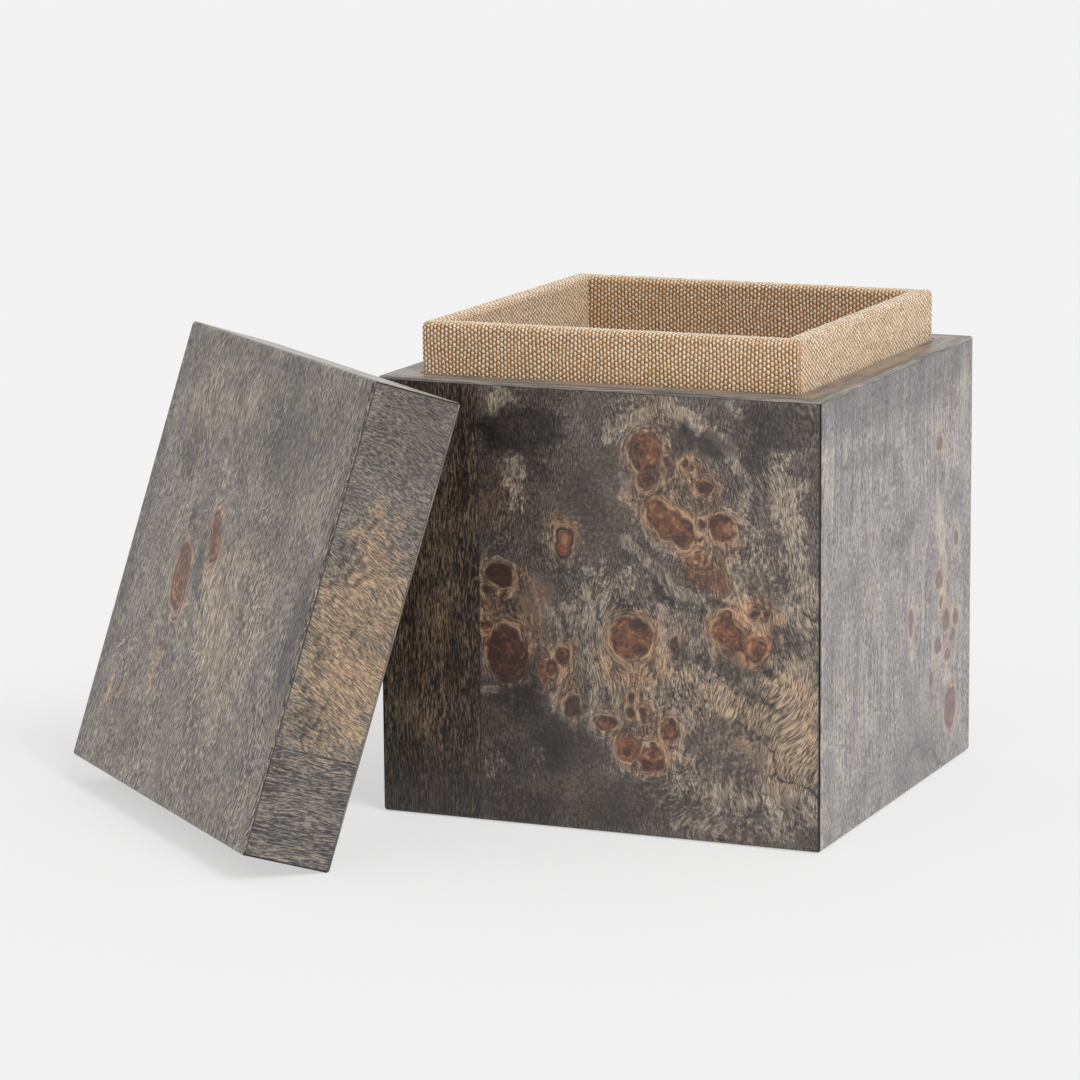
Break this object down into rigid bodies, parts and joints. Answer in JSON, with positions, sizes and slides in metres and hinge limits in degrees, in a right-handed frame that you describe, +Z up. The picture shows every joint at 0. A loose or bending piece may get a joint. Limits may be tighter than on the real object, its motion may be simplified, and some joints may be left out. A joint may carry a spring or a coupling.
{
  "type": "lidded vanity canister",
  "caption": "Square burl-veneered wooden canister with a cloth-covered liner standing above its rim and a lift-off lid leaning on its corner.",
  "frame": {"origin": "middle of the base felt's underside, on the surface that the canister stands on", "axes": "+Z up through the open top, -Y out of the front, +X to the right as seen from the front"},
  "size_m": [0.1936, 0.1817, 0.1168],
  "materials": {
    "burl_veneer": "grey-stained burl leaf under satin lacquer",
    "straight_veneer": "grey-stained straight-grained leaf under satin lacquer",
    "lipping": "grey-stained strip under satin lacquer",
    "wall_board": "bare sanded fibreboard",
    "panel_board": "bare sanded fibreboard",
    "backing_leaf": "grey-stained plain leaf under satin lacquer",
    "liner_board": "bare grey board",
    "woven_cloth": "coarse plain-woven cloth, cream over tan threads",
    "felt": "pressed felt"
  },
  "bodies": {
    "case": {"case_front_core": "wall_board", "case_back_core": "wall_board", "case_left_core": "wall_board", "case_right_core": "wall_board", "case_base_panel": "panel_board", "case_front_strip_veneer": "straight_veneer", "case_front_burl_veneer": "burl_veneer", "case_back_veneer": "burl_veneer", "case_left_veneer": "burl_veneer", "case_right_veneer": "burl_veneer", "case_rim_front_lipping": "lipping", "case_rim_back_lipping": "lipping", "case_rim_left_lipping": "lipping", "case_rim_right_lipping": "lipping", "base_felt": "felt", "liner_front_board": "liner_board", "liner_back_board": "liner_board", "liner_left_board": "liner_board", "liner_right_board": "liner_board", "liner_floor_board": "liner_board", "liner_front_cloth": "woven_cloth", "liner_back_cloth": "woven_cloth", "liner_left_cloth": "woven_cloth", "liner_right_cloth": "woven_cloth", "liner_floor_cloth": "woven_cloth"},
    "lid": {"lid_front_core": "wall_board", "lid_back_core": "wall_board", "lid_left_core": "wall_board", "lid_right_core": "wall_board", "lid_top_core": "panel_board", "lid_top_veneer": "burl_veneer", "lid_front_strip_veneer": "straight_veneer", "lid_front_burl_veneer": "burl_veneer", "lid_back_veneer": "burl_veneer", "lid_left_veneer": "burl_veneer", "lid_right_veneer": "burl_veneer", "lid_rim_front_lipping": "lipping", "lid_rim_back_lipping": "lipping", "lid_rim_left_lipping": "lipping", "lid_rim_right_lipping": "lipping", "lid_inner_veneer": "backing_leaf"}
  },
  "joints": [
    {"name": "lid_lift", "type": "slide", "parent": "case", "child": "lid", "axis": [0, 0, 1], "range_m": [0, 0.15]}
  ]
}
